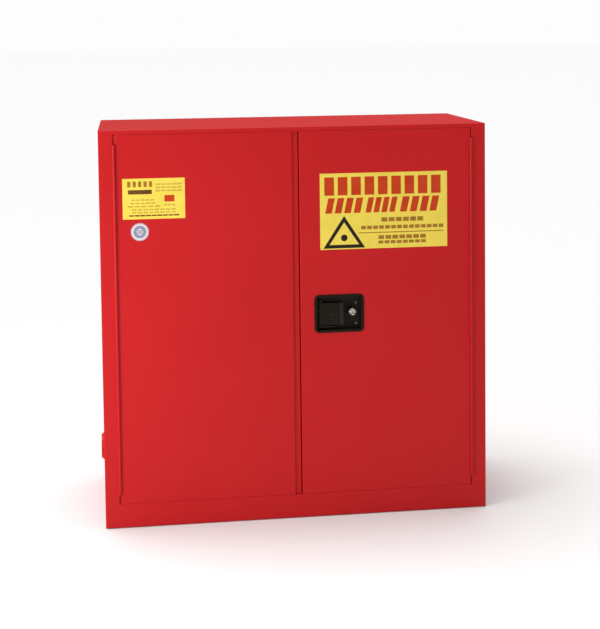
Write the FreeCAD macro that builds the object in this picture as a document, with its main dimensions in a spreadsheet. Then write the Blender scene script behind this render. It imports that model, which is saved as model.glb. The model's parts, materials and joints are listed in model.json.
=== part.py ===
import FreeCAD, Part
import math
import os
import Sketcher
from FreeCAD import Vector

# A two-door flammable storage cabinet: a double-walled steel carcass with a leak-proof sill,
# two double-walled doors on continuous hinges, and a paddle latch that draws three bolts.
# Millimetres, +Z up, +X to the right of someone facing the doors, which face -Y.
# The origin is at floor level, in the middle of the overall width and depth.

doc = FreeCAD.newDocument("safety_cabinet")
dims = doc.addObject("Spreadsheet::Sheet", "Dims")

DIMENSIONS = {
    # carcass
    "width": 1092,
    "depth": 457,
    "height": 1118,
    "gauge": 1.2,
    "air_gap": 38,
    "bend": 2,
    "toe_clearance": 2,
    "base_level": 20,
    "plinth_height": 68.5,
    "sill_height": 51,
    "sill_thickness": 9,
    "lip": 12,
    "stile_width": 40,
    "stop_reach": 20,
    "door_recess": 42,
    # doors
    "door_bottom": 69.1,
    "door_top": 1105.4,
    "door_thickness": 40,
    "door_side_gap": 4,
    "left_door_edge": 553.9,
    "right_door_edge": 556.1,
    "rebate_width": 17.4,
    "rebate_depth": 5,
    # continuous hinges
    "axis_from_side": 42,
    "axis_proud": 3,
    "knuckle_radius": 4.2,
    "hinge_bore": 1.55,
    "hinge_pin_radius": 1.5,
    "hinge_bottom": 98,
    "knuckle_pitch": 46.7,
    "knuckle_gap": 0.6,
    "knuckles": 21,
    "leaf_width": 34,
    # shelf and its supports
    "shelf_level": 560,
    "shelf_rim": 25,
    "shelf_clearance": 6,
    "standard_width": 20,
    "standard_thickness": 4,
    "standard_inset": 60,
    "slot_pitch": 57,
    "slots": 15,
    "clip_reach": 14,
    # vents
    "vent_radius": 30,
    "vent_low": 168,
    "vent_high": 950,
    "cap_radius": 39.5,
    "cap_rim_radius": 35,
    "cap_reach": 12,
    "flange_radius": 38,
    # feet and earthing stud
    "foot_inset": 55,
    "stem_radius": 5,
    "foot_radius": 16,
    "stud_radius": 4,
    "stud_end_radius": 3,
    "stud_end_length": 7,
    "nut_height": 5,
    "stud_height": 120,
    "stud_from_back": 60,
    # handle and latch, from the left end and the bottom of the handle
    "handle_left": 49,
    "handle_bottom": 531,
    "handle_length": 142,
    "handle_height": 109,
    "bezel": 8,
    "bezel_proud": 3,
    "tray_depth": 15,
    "tray_wall": 1.5,
    "paddle_left": 14,
    "paddle_right": 84,
    "paddle_bottom": 22,
    "paddle_top": 85,
    "pivot_depth": 6.5,
    "pivot_inset": 18,
    "paddle_swing": 35,
    "tail_length": 19,
    "cam_height": 42,
    "cam_swing": 40,
    "crank_radius": 25,
    "crank_pin": 3,
    "rod_radius": 4,
    "rod_depth": 24,
    "rod_reach": 0.3,
    "bolt_reach": 1,
    "lock_left": 109,
    "lock_bottom": 57.5,
    "lock_radius": 11,
    "plug_radius": 7.5,
    # labels, from the left end and the bottom of the front
    "label_thickness": 0.3,
    "warning_left": 614,
    "warning_bottom": 768,
    "warning_right": 980,
    "warning_top": 984,
    "data_left": 64,
    "data_bottom": 870.5,
    "data_right": 236,
    "data_top": 983.5,
    "seal_left": 110,
    "seal_bottom": 835,
    "seal_radius": 25,
}

for row, (alias, size) in enumerate(DIMENSIONS.items(), start=1):
    dims.set(f"A{row}", alias)
    dims.set(f"B{row}", str(size))
    dims.setAlias(f"B{row}", alias)
doc.recompute()

# Planes that several pieces share, as expressions of the sheet's cells.
FRONT = "(Dims.knuckle_radius + Dims.axis_proud - Dims.depth) / 2"
BACK = f"({FRONT} + Dims.depth)"
HALF = "Dims.width / 2"
WALL = "(2 * Dims.gauge + Dims.air_gap)"
INNER_FACE = f"({HALF} - {WALL})"
STOP = f"({FRONT} + Dims.door_recess)"
CHAMBER_FRONT = f"({STOP} + Dims.gauge)"
CHAMBER_BACK = f"({BACK} - {WALL})"
LIP_BOTTOM = "(Dims.height - Dims.lip)"
CEILING = f"(Dims.height - {WALL})"
FLOOR = "(Dims.base_level + Dims.gauge + Dims.air_gap)"
SILL_TOP = f"({FLOOR} + Dims.sill_height)"
SILL_BACK = f"({STOP} + Dims.sill_thickness)"
MIDDLE = f"({FRONT} + Dims.depth / 2)"
AXIS_Y = f"({FRONT} - Dims.axis_proud)"
HANDLE_TOP = "(Dims.handle_bottom + Dims.handle_height)"
PIVOT_X = "(Dims.handle_left + Dims.pivot_inset)"
PIVOT_Y = f"({FRONT} + Dims.pivot_depth)"
CAM_Z = "(Dims.handle_bottom + Dims.cam_height)"
# The paddle's tail moves the cam's lug sideways by the same amount as its own tip.
LUG_RADIUS = (
    "(Dims.tail_length * sin(Dims.paddle_swing) / (2 * sin(Dims.cam_swing / 2)))"
)
TAIL_HALF = 2.5
TAIL_PLAY = 2
CAM_X = (
    f"({PIVOT_X} + {TAIL_HALF} + {TAIL_PLAY} + Dims.crank_pin"
    f" + {LUG_RADIUS} * sin(Dims.cam_swing / 2))"
)
LATCH_FACE = f"({FRONT} + Dims.tray_depth + Dims.tray_wall)"
# Layers of the latch behind the tray, as depths behind LATCH_FACE: (start, thickness).
PLATE_LAYER = (0, 2)
CAM_LAYER = (2.5, 3)
YOKE_LAYER = (6, 3)
BOLT_LAYER = (9.5, 3)

SIDES = {"left": -1, "right": 1}
subparts = {}


def number(expression):
    """The value of an expression of the sheet's cells."""
    return float(dims.evalExpression(str(expression)))


def on_side(side, distance):
    """The x of a plane at a distance from the middle, on the left (-1) or right (1)."""
    return f"{side} * ({distance})"


def span(side, near, far):
    """The lower x and the length of the stretch from near to far on one side."""
    start = near if side > 0 else f"-({far})"
    return start, f"({far}) - ({near})"


def rectangle(low_u, low_v, high_u, high_v):
    """The corners of a rectangle in a sketch's plane."""
    return [(low_u, low_v), (high_u, low_v), (high_u, high_v), (low_u, high_v)]


def new_body(name):
    """A PartDesign body that becomes the sub-part of that name."""
    body = doc.addObject("PartDesign::Body", name)
    subparts[name] = body
    return body


def add_polygon(sketch, corners):
    """Draws a closed outline and ties each corner to the sheet."""
    first = sketch.GeometryCount
    points = [Vector(number(u), number(v), 0) for u, v in corners]
    for index, point in enumerate(points):
        following = points[(index + 1) % len(points)]
        sketch.addGeometry(Part.LineSegment(point, following))
    for index, (u, v) in enumerate(corners):
        line = first + index
        following = first + (index + 1) % len(corners)
        sketch.addConstraint(Sketcher.Constraint("Coincident", line, 2, following, 1))
        for kind, expression, size in (
            ("DistanceX", u, points[index].x),
            ("DistanceY", v, points[index].y),
        ):
            constraint = Sketcher.Constraint(kind, -1, 1, line, 1, size)
            place = sketch.addConstraint(constraint)
            sketch.setExpression(f"Constraints[{place}]", str(expression))


def add_circle(sketch, u, v, radius):
    """Draws a circle and ties its centre and radius to the sheet."""
    centre = Vector(number(u), number(v), 0)
    curve = sketch.addGeometry(Part.Circle(centre, Vector(0, 0, 1), number(radius)))
    for constraint, expression in (
        (Sketcher.Constraint("DistanceX", -1, 1, curve, 3, centre.x), u),
        (Sketcher.Constraint("DistanceY", -1, 1, curve, 3, centre.y), v),
        (Sketcher.Constraint("Radius", curve, number(radius)), radius),
    ):
        place = sketch.addConstraint(constraint)
        sketch.setExpression(f"Constraints[{place}]", str(expression))


def draw(body, plane, level, outlines):
    """A sketch on one of the body's origin planes, moved to a level along its third axis.

    Sketches on XY, XZ and YZ measure (x, y), (x, z) and (y, z). An outline is a list of
    corners, or a circle as (u, v, radius)."""
    planes = body.Origin.OriginFeatures
    support = next(feature for feature in planes if feature.Role == plane + "_Plane")
    sketch = body.newObject("Sketcher::SketchObject", body.Name + "_sketch")
    sketch.AttachmentSupport = [(support, "")]
    sketch.MapMode = "FlatFace"
    sign = "-" if plane == "XZ" else ""
    sketch.setExpression("AttachmentOffset.Base.z", f"{sign}({level})")
    for outline in outlines:
        if isinstance(outline, tuple):
            add_circle(sketch, *outline)
        else:
            add_polygon(sketch, outline)
    return sketch


def pad(body, plane, level, length, *outlines):
    """Adds material from a level, for a length along the plane's positive third axis."""
    feature = body.newObject("PartDesign::Pad", body.Name + "_pad")
    feature.Profile = draw(body, plane, level, outlines)
    feature.Reversed = plane == "XZ"
    feature.setExpression("Length", str(length))
    doc.recompute()
    return feature


def pocket(body, plane, level, length, *outlines):
    """Cuts the outlines from a level, for a length along the positive third axis."""
    before = body.Shape.Volume
    feature = body.newObject("PartDesign::Pocket", body.Name + "_pocket")
    feature.Profile = draw(body, plane, level, outlines)
    feature.Reversed = plane != "XZ"
    feature.setExpression("Length", str(length))
    doc.recompute()
    if body.Shape.Volume >= before - 1e-6:
        raise ValueError(f"{feature.Name} cuts nothing")
    return feature


def repeat(body, feature, count, pitch):
    """Repeats a feature upwards, count times in all."""
    pattern = body.newObject("PartDesign::LinearPattern", body.Name + "_pattern")
    pattern.Originals = [feature]
    up = next(part for part in body.Origin.OriginFeatures if part.Role == "Z_Axis")
    pattern.Direction = (up, [""])
    pattern.setExpression("Length", f"({count} - 1) * ({pitch})")
    pattern.setExpression("Occurrences", str(count))
    body.Tip = pattern
    doc.recompute()
    return pattern


def lies_on(edge, **planes):
    """Whether both ends of an edge lie on the given x, y or z planes."""
    ends = [vertex.Point for vertex in edge.Vertexes]
    return all(
        abs(getattr(end, axis) - number(level)) < 0.01
        for axis, level in planes.items()
        for end in ends
    )


def round_edges(body, radius, *places):
    """Fillets the edges whose ends lie on all the planes of any one of the places."""
    base = body.Tip
    names = [
        f"Edge{index}"
        for index, edge in enumerate(base.Shape.Edges, start=1)
        if any(lies_on(edge, **place) for place in places)
    ]
    fillet = body.newObject("PartDesign::Fillet", body.Name + "_bends")
    fillet.Base = (base, names)
    fillet.setExpression("Radius", str(radius))
    body.Tip = fillet
    doc.recompute()
    return fillet


def plate(name, plane, level, length, *outlines):
    """A sub-part that is one pad."""
    body = new_body(name)
    pad(body, plane, level, length, *outlines)
    return body


def group(name, shapes):
    """A sub-part of several equal, separate solids, from Part's own functions."""
    feature = doc.addObject("Part::Feature", name)
    feature.Shape = Part.makeCompound(shapes)
    subparts[name] = feature
    return feature


def make_carcass_shell():
    """The outer skin: plinth, sides, back, top pan and base plate."""
    plinth = plate(
        "plinth_front",
        "XY",
        "Dims.toe_clearance",
        "Dims.plinth_height - Dims.toe_clearance",
        [
            (f"-{HALF}", f"{FRONT} + Dims.lip"),
            (f"-{HALF}", FRONT),
            (HALF, FRONT),
            (HALF, f"{FRONT} + Dims.lip"),
            (f"{HALF} - Dims.gauge", f"{FRONT} + Dims.lip"),
            (f"{HALF} - Dims.gauge", f"{FRONT} + Dims.gauge"),
            (f"Dims.gauge - {HALF}", f"{FRONT} + Dims.gauge"),
            (f"Dims.gauge - {HALF}", f"{FRONT} + Dims.lip"),
        ],
    )
    round_edges(plinth, "Dims.bend", {"x": f"-{HALF}", "y": FRONT}, {"x": HALF, "y": FRONT})

    back = plate(
        "outer_back",
        "XY",
        "Dims.toe_clearance",
        f"{LIP_BOTTOM} - Dims.toe_clearance",
        [
            (f"-{HALF}", f"{BACK} - Dims.lip"),
            (f"Dims.gauge - {HALF}", f"{BACK} - Dims.lip"),
            (f"Dims.gauge - {HALF}", f"{BACK} - Dims.gauge"),
            (f"{HALF} - Dims.gauge", f"{BACK} - Dims.gauge"),
            (f"{HALF} - Dims.gauge", f"{BACK} - Dims.lip"),
            (HALF, f"{BACK} - Dims.lip"),
            (HALF, BACK),
            (f"-{HALF}", BACK),
        ],
    )
    round_edges(back, "Dims.bend", {"x": f"-{HALF}", "y": BACK}, {"x": HALF, "y": BACK})

    top = plate(
        "outer_top",
        "XY",
        LIP_BOTTOM,
        "Dims.lip",
        rectangle(f"-{HALF}", FRONT, HALF, BACK),
    )
    round_edges(
        top,
        "Dims.bend",
        {"z": "Dims.height"},
        {"x": f"-{HALF}", "y": FRONT},
        {"x": HALF, "y": FRONT},
        {"x": f"-{HALF}", "y": BACK},
        {"x": HALF, "y": BACK},
    )
    pocket(
        top,
        "XY",
        LIP_BOTTOM,
        "Dims.lip - Dims.gauge",
        rectangle(
            f"Dims.gauge - {HALF}",
            f"{FRONT} + Dims.gauge",
            f"{HALF} - Dims.gauge",
            f"{BACK} - Dims.gauge",
        ),
    )

    foot_holes = [
        (x, y, "Dims.stem_radius + 1")
        for x in (f"Dims.foot_inset - {HALF}", f"{HALF} - Dims.foot_inset")
        for y in (f"{FRONT} + Dims.foot_inset", f"{BACK} - Dims.foot_inset")
    ]
    plate(
        "outer_bottom",
        "XY",
        "Dims.base_level",
        "Dims.gauge",
        rectangle(
            f"Dims.gauge - {HALF}",
            f"{FRONT} + Dims.gauge",
            f"{HALF} - Dims.gauge",
            f"{BACK} - Dims.gauge",
        ),
        *foot_holes,
    )


def make_sides():
    """The outer and inner side sheets, with their vent holes, and the stiles."""
    stud_y = f"{BACK} - Dims.stud_from_back"
    for name, side in SIDES.items():
        vent_z = "Dims.vent_low" if side < 0 else "Dims.vent_high"
        vent_hole = (MIDDLE, vent_z, "Dims.vent_radius + 3")
        stud_hole = (stud_y, "Dims.stud_height", "Dims.stud_radius + 0.05")
        start, length = span(side, f"{HALF} - Dims.gauge", HALF)
        outline = rectangle(
            f"{FRONT} + Dims.lip", "Dims.toe_clearance", f"{BACK} - Dims.lip", LIP_BOTTOM
        )
        holes = [vent_hole, stud_hole] if side > 0 else [vent_hole]
        plate(f"outer_{name}_side", "YZ", start, length, outline, *holes)

        start, length = span(side, INNER_FACE, f"{INNER_FACE} + Dims.gauge")
        outline = rectangle(
            CHAMBER_FRONT, FLOOR, CHAMBER_BACK, f"{CEILING} + Dims.gauge"
        )
        plate(f"inner_{name}_side", "YZ", start, length, outline, vent_hole)

        # A folded section: a return on the side, the face, the jamb and the door stop.
        jamb = f"{HALF} - Dims.stile_width"
        corners = [
            (HALF, f"{FRONT} + Dims.lip"),
            (HALF, FRONT),
            (jamb, FRONT),
            (jamb, STOP),
            (f"{jamb} - Dims.stop_reach", STOP),
            (f"{jamb} - Dims.stop_reach", CHAMBER_FRONT),
            (f"{jamb} + Dims.gauge", CHAMBER_FRONT),
            (f"{jamb} + Dims.gauge", f"{FRONT} + Dims.gauge"),
            (f"{HALF} - Dims.gauge", f"{FRONT} + Dims.gauge"),
            (f"{HALF} - Dims.gauge", f"{FRONT} + Dims.lip"),
        ]
        stile = plate(
            f"{name}_stile",
            "XY",
            "Dims.plinth_height",
            f"{LIP_BOTTOM} - Dims.plinth_height",
            [(on_side(side, x), y) for x, y in corners],
        )
        round_edges(
            stile,
            "Dims.bend",
            {"x": on_side(side, HALF), "y": FRONT},
            {"x": on_side(side, jamb), "y": FRONT},
        )
        # The stop is cut away where the sill and the top rail run through.
        start, length = span(side, f"{jamb} - Dims.stop_reach", jamb)
        for low, high in (("Dims.plinth_height", SILL_TOP), (CEILING, LIP_BOTTOM)):
            pocket(
                stile,
                "YZ",
                start,
                length,
                rectangle(STOP, low, CHAMBER_FRONT, high),
            )


def make_rails():
    """The folded top rail above the doors and the folded sill below them."""
    face = f"{FRONT} + Dims.gauge"
    rod_y = f"{FRONT} + Dims.rod_depth"
    plate(
        "top_rail",
        "YZ",
        f"-{INNER_FACE}",
        f"2 * {INNER_FACE}",
        [
            (face, LIP_BOTTOM),
            (STOP, LIP_BOTTOM),
            (STOP, CEILING),
            (CHAMBER_FRONT, CEILING),
            (CHAMBER_FRONT, f"{LIP_BOTTOM} + Dims.gauge"),
            (face, f"{LIP_BOTTOM} + Dims.gauge"),
        ],
    )
    pocket(
        subparts["top_rail"],
        "XY",
        LIP_BOTTOM,
        "Dims.gauge",
        (f"{CAM_X} + Dims.crank_radius", rod_y, "Dims.rod_radius + 1"),
    )
    plate(
        "sill",
        "YZ",
        f"-{INNER_FACE}",
        f"2 * {INNER_FACE}",
        [
            (face, "Dims.plinth_height"),
            (STOP, "Dims.plinth_height"),
            (STOP, SILL_TOP),
            (SILL_BACK, SILL_TOP),
            (SILL_BACK, f"{SILL_TOP} - Dims.gauge"),
            (CHAMBER_FRONT, f"{SILL_TOP} - Dims.gauge"),
            (CHAMBER_FRONT, "Dims.plinth_height - Dims.gauge"),
            (face, "Dims.plinth_height - Dims.gauge"),
        ],
    )
    pocket(
        subparts["sill"],
        "XY",
        "Dims.plinth_height - Dims.gauge",
        "Dims.gauge",
        (f"{CAM_X} - Dims.crank_radius", rod_y, "Dims.rod_radius + 1"),
    )


def make_inner_shell():
    """The inner skin: back, top and the leak-proof sump."""
    plate(
        "inner_back",
        "XZ",
        CHAMBER_BACK,
        "Dims.gauge",
        rectangle(
            f"-({INNER_FACE} + Dims.gauge)",
            FLOOR,
            f"{INNER_FACE} + Dims.gauge",
            f"{CEILING} + Dims.gauge",
        ),
    )
    plate(
        "inner_top",
        "XY",
        CEILING,
        "Dims.gauge",
        rectangle(f"-{INNER_FACE}", CHAMBER_FRONT, INNER_FACE, CHAMBER_BACK),
    )
    sump = plate(
        "sump",
        "XY",
        FLOOR,
        "Dims.sill_height",
        rectangle(f"-{INNER_FACE}", SILL_BACK, INNER_FACE, CHAMBER_BACK),
    )
    pocket(
        sump,
        "XY",
        f"{FLOOR} + Dims.gauge",
        "Dims.sill_height",
        rectangle(
            f"Dims.gauge - {INNER_FACE}",
            f"{SILL_BACK} + Dims.gauge",
            f"{INNER_FACE} - Dims.gauge",
            f"{CHAMBER_BACK} - Dims.gauge",
        ),
    )


def make_shelf():
    """The slotted standards, the clips that hook into them and the rimmed shelf."""
    face = number(INNER_FACE)
    wide = number("Dims.standard_width")
    thick = number("Dims.standard_thickness")
    low = number(f"{SILL_TOP} + 10")
    tall = number(f"{CEILING} - ({SILL_TOP}) - 20")
    pitch = number("Dims.slot_pitch")
    reach = number("Dims.clip_reach")
    shelf_z = number("Dims.shelf_level")
    centres = [
        number(f"{CHAMBER_FRONT} + Dims.standard_inset"),
        number(f"{CHAMBER_BACK} - Dims.standard_inset"),
    ]
    standards = []
    clips = []
    for side in SIDES.values():
        wall = min(side * face, side * (face - thick))
        clip_x = min(side * (face - thick), side * (face - thick - reach))
        for centre in centres:
            corner = Vector(wall, centre - wide / 2, low)
            strip = Part.makeBox(thick, wide, tall, corner)
            for slot in range(int(number("Dims.slots"))):
                corner = Vector(wall, centre - 2.5, low + 20 + slot * pitch)
                strip = strip.cut(Part.makeBox(thick, 5, 24, corner))
            standards.append(strip)
            # Each clip is a bent tab: a foot against the standard and a ledge for the shelf.
            ledge = Part.makeBox(reach, 16, 2, Vector(clip_x, centre - 8, shelf_z - 2))
            web_x = min(side * (face - thick), side * (face - thick - 2))
            web = Part.makeBox(2, 16, 20, Vector(web_x, centre - 8, shelf_z - 20))
            clips.append(ledge.fuse(web).removeSplitter())
    group("shelf_standards", standards)
    group("shelf_clips", clips)

    edge = f"({INNER_FACE} - Dims.shelf_clearance)"
    near = f"({CHAMBER_FRONT} + 12)"
    far = f"({CHAMBER_BACK} - 3)"
    shelf = plate(
        "shelf", "XY", "Dims.shelf_level", "Dims.shelf_rim", rectangle(f"-{edge}", near, edge, far)
    )
    pocket(
        shelf,
        "XY",
        "Dims.shelf_level + Dims.gauge",
        "Dims.shelf_rim",
        rectangle(
            f"Dims.gauge - {edge}",
            f"{near} + Dims.gauge",
            f"{edge} - Dims.gauge",
            f"{far} - Dims.gauge",
        ),
    )


def make_vent(name, side, height):
    """A threaded vent tube through both walls, its flame arrester and its screw cap."""
    centre = (MIDDLE, height)
    tube = new_body(f"{name}_vent_tube")
    start, length = span(side, INNER_FACE, HALF)
    pad(tube, "YZ", start, length, (*centre, "Dims.vent_radius + 3"))
    start, length = span(side, HALF, f"{HALF} + 3")
    pad(tube, "YZ", start, length, (*centre, "Dims.flange_radius"))
    start, length = span(side, f"{INNER_FACE} + 1.5", f"{HALF} + 3")
    pocket(tube, "YZ", start, length, (*centre, "Dims.vent_radius"))
    start, length = span(side, INNER_FACE, f"{INNER_FACE} + 1.5")
    pocket(tube, "YZ", start, length, (*centre, "Dims.vent_radius - 3"))

    start, length = span(side, f"{INNER_FACE} + 1.5", f"{INNER_FACE} + 3.5")
    holes = [(*centre, "2.5")]
    for ring, count in ((8, 6), (16, 12), (23, 18)):
        for step in range(count):
            turn = 360 * step / count
            y = f"{MIDDLE} + {ring} * cos({turn})"
            z = f"{height} + {ring} * sin({turn})"
            holes.append((y, z, "2.5"))
    plate(
        f"{name}_flame_arrester",
        "YZ",
        start,
        length,
        (*centre, "Dims.vent_radius - 0.3"),
        *holes,
    )

    cap = new_body(f"{name}_vent_cap")
    tip = f"{HALF} + Dims.cap_reach"
    start, length = span(side, f"{tip} - 8.7", f"{tip} - 5")
    pad(cap, "YZ", start, length, (*centre, "Dims.cap_radius"))
    start, length = span(side, f"{tip} - 5", tip)
    pad(cap, "YZ", start, length, (*centre, "Dims.cap_rim_radius"))
    pocket(cap, "YZ", start, length, (*centre, "Dims.cap_rim_radius - 6"))
    reach = "(Dims.cap_rim_radius - 5)"
    grip = rectangle(
        f"{MIDDLE} - {reach}", f"{height} - 5", f"{MIDDLE} + {reach}", f"{height} + 5"
    )
    pad(cap, "YZ", start, length, grip)
    start, length = span(side, f"{HALF} - 16", f"{tip} - 8.7")
    pad(cap, "YZ", start, length, (*centre, "Dims.vent_radius - 0.08"))


def make_feet():
    """Four levelling feet and the threaded plates that they turn in."""
    x = number(f"{HALF} - Dims.foot_inset")
    rows = {
        "front": f"{FRONT} + Dims.foot_inset",
        "back": f"{BACK} - Dims.foot_inset",
    }
    base = number("Dims.base_level + Dims.gauge")
    bore = number("Dims.stem_radius + 0.06")
    sockets = []
    for side_name, side in SIDES.items():
        for row_name, y in rows.items():
            corner = Vector(side * x - 20, number(y) - 20, base)
            block = Part.makeBox(40, 40, 8, corner)
            hole = Part.makeCylinder(bore, 8, Vector(side * x, number(y), base))
            sockets.append(block.cut(hole))
            foot = new_body(f"{row_name}_{side_name}_foot")
            centre = (on_side(side, f"{HALF} - Dims.foot_inset"), y)
            pad(foot, "XY", "0", "5", (*centre, "Dims.foot_radius"))
            pad(foot, "XY", "5", "6", (*centre, "8"))
            pad(foot, "XY", "11", "38", (*centre, "Dims.stem_radius"))
            round_edges(foot, "1.5", {"z": "5"})
    group("foot_sockets", sockets)


def make_earthing_stud():
    """A stepped stud low on the right side, for the earthing wire, with its nut."""
    centre = (f"{BACK} - Dims.stud_from_back", "Dims.stud_height")
    inside = f"({HALF} - Dims.gauge)"
    stud = new_body("earthing_stud")
    pad(stud, "YZ", f"{inside} - 3", "3", (*centre, "8"))
    shank = f"{HALF} + Dims.nut_height - {inside}"
    pad(stud, "YZ", inside, shank, (*centre, "Dims.stud_radius"))
    shoulder = f"{HALF} + Dims.nut_height"
    pad(stud, "YZ", shoulder, "Dims.stud_end_length", (*centre, "Dims.stud_end_radius"))
    corners = [
        (f"{centre[0]} + 7.5 * cos({turn})", f"{centre[1]} + 7.5 * sin({turn})")
        for turn in range(0, 360, 60)
    ]
    bore = (*centre, "Dims.stud_radius + 0.05")
    nut = new_body("earthing_nut")
    pad(nut, "YZ", HALF, "1", (*centre, "8"), bore)
    pad(nut, "YZ", f"{HALF} + 1", "Dims.nut_height - 1", corners, bore)


def make_hinge(name, side):
    """A continuous hinge: one leaf on the jamb, one on the door, and a headed pin."""
    axis_x = f"({HALF} - Dims.axis_from_side)"
    knuckle = (on_side(side, axis_x), AXIS_Y, "Dims.knuckle_radius")
    bore = (on_side(side, axis_x), AXIS_Y, "Dims.hinge_bore")
    jamb = f"({HALF} - Dims.stile_width)"
    door_edge = f"({jamb} - Dims.door_side_gap)"
    height = "Dims.knuckles * Dims.knuckle_pitch - Dims.knuckle_gap"
    clear = "(Dims.knuckle_radius + 0.3)"
    leaves = {
        "frame": (f"{jamb} - Dims.gauge", jamb, 0, "(Dims.knuckles + 1) / 2"),
        "door": (door_edge, f"{door_edge} + Dims.gauge", 1, "(Dims.knuckles - 1) / 2"),
    }
    for leaf_name, (near, far, first, count) in leaves.items():
        leaf = new_body(f"{name}_hinge_{leaf_name}_leaf")
        strip = rectangle(
            on_side(side, near),
            f"{AXIS_Y} + {clear}",
            on_side(side, far),
            f"{AXIS_Y} + Dims.leaf_width",
        )
        pad(leaf, "XY", "Dims.door_bottom + 1", "Dims.door_top - Dims.door_bottom - 2", strip)
        start = f"Dims.hinge_bottom + {first} * Dims.knuckle_pitch"
        length = "Dims.knuckle_pitch - Dims.knuckle_gap"
        tongue = rectangle(
            on_side(side, near),
            f"{AXIS_Y} + Dims.hinge_bore",
            on_side(side, far),
            f"{AXIS_Y} + {clear}",
        )
        pitch = "2 * Dims.knuckle_pitch"
        repeat(leaf, pad(leaf, "XY", start, length, tongue), count, pitch)
        repeat(leaf, pad(leaf, "XY", start, length, knuckle), count, pitch)
        pocket(leaf, "XY", "Dims.hinge_bottom", height, bore)

    pin = new_body(f"{name}_hinge_pin")
    centre = (on_side(side, axis_x), AXIS_Y)
    pad(pin, "XY", "Dims.hinge_bottom - 1.5", "1.5", (*centre, "Dims.knuckle_radius - 0.5"))
    pad(pin, "XY", "Dims.hinge_bottom", f"{height} + 0.4", (*centre, "Dims.hinge_pin_radius"))


def make_left_door():
    """The left door: an outer pan, rebated along its free edge, and an inner sheet."""
    hinge_edge = f"(Dims.stile_width + Dims.door_side_gap - {HALF})"
    free_edge = f"(Dims.left_door_edge - {HALF})"
    step = f"({free_edge} - Dims.rebate_width)"
    skin_back = f"({FRONT} + Dims.door_thickness - Dims.gauge)"
    outer = plate(
        "left_door_outer",
        "XY",
        "Dims.door_bottom",
        "Dims.door_top - Dims.door_bottom",
        [
            (hinge_edge, FRONT),
            (step, FRONT),
            (step, f"{FRONT} + Dims.rebate_depth"),
            (free_edge, f"{FRONT} + Dims.rebate_depth"),
            (free_edge, skin_back),
            (hinge_edge, skin_back),
        ],
    )
    rebate = f"{FRONT} + Dims.rebate_depth"
    round_edges(
        outer,
        "Dims.bend",
        {"x": hinge_edge, "y": FRONT},
        {"x": step, "y": FRONT},
        {"x": free_edge, "y": rebate},
    )
    pocket(
        outer,
        "XY",
        "Dims.door_bottom + Dims.gauge",
        "Dims.door_top - Dims.door_bottom - 2 * Dims.gauge",
        [
            (f"{hinge_edge} + Dims.gauge", f"{FRONT} + Dims.gauge"),
            (f"{step} - Dims.gauge", f"{FRONT} + Dims.gauge"),
            (f"{step} - Dims.gauge", f"{rebate} + Dims.gauge"),
            (f"{free_edge} - Dims.gauge", f"{rebate} + Dims.gauge"),
            (f"{free_edge} - Dims.gauge", skin_back),
            (f"{hinge_edge} + Dims.gauge", skin_back),
        ],
    )
    make_door_inner("left", hinge_edge, free_edge)


def make_door_inner(name, low_x, high_x):
    """The inner sheet that closes the back of a door."""
    outline = rectangle(low_x, "Dims.door_bottom", high_x, "Dims.door_top")
    level = f"{FRONT} + Dims.door_thickness - Dims.gauge"
    plate(f"{name}_door_inner", "XZ", level, "Dims.gauge", outline)


def make_right_door():
    """The right door: a plain outer pan, cut out for the handle, and an inner sheet."""
    free_edge = f"(Dims.right_door_edge - {HALF})"
    hinge_edge = f"({HALF} - Dims.stile_width - Dims.door_side_gap)"
    skin_back = f"({FRONT} + Dims.door_thickness - Dims.gauge)"
    outer = plate(
        "right_door_outer",
        "XY",
        "Dims.door_bottom",
        "Dims.door_top - Dims.door_bottom",
        rectangle(free_edge, FRONT, hinge_edge, skin_back),
    )
    round_edges(
        outer,
        "Dims.bend",
        {"x": free_edge, "y": FRONT},
        {"x": hinge_edge, "y": FRONT},
    )
    pocket(
        outer,
        "XY",
        "Dims.door_bottom + Dims.gauge",
        "Dims.door_top - Dims.door_bottom - 2 * Dims.gauge",
        rectangle(
            f"{free_edge} + Dims.gauge",
            f"{FRONT} + Dims.gauge",
            f"{hinge_edge} - Dims.gauge",
            skin_back,
        ),
    )
    pocket(
        outer,
        "XZ",
        FRONT,
        "Dims.gauge",
        rectangle(
            "Dims.handle_left + 5",
            "Dims.handle_bottom + 5",
            "Dims.handle_left + Dims.handle_length - 5",
            f"{HANDLE_TOP} - 5",
        ),
    )
    rod_y = f"{FRONT} + Dims.rod_depth"
    rod_hole = "Dims.rod_radius + 0.8"
    ends = (
        ("Dims.door_top - Dims.gauge", f"{CAM_X} + Dims.crank_radius"),
        ("Dims.door_bottom", f"{CAM_X} - Dims.crank_radius"),
    )
    for level, x in ends:
        pocket(outer, "XY", level, "Dims.gauge", (x, rod_y, rod_hole))
    lug_z = f"{CAM_Z} + {LUG_RADIUS} * cos(Dims.cam_swing / 2)"
    depth, thickness = BOLT_LAYER
    pocket(
        outer,
        "YZ",
        free_edge,
        "Dims.gauge",
        rectangle(
            f"{LATCH_FACE} + {depth} - 0.5",
            f"{lug_z} - 8",
            f"{LATCH_FACE} + {depth + thickness} + 0.5",
            f"{lug_z} + 8",
        ),
    )
    make_door_inner("right", free_edge, hinge_edge)


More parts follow.
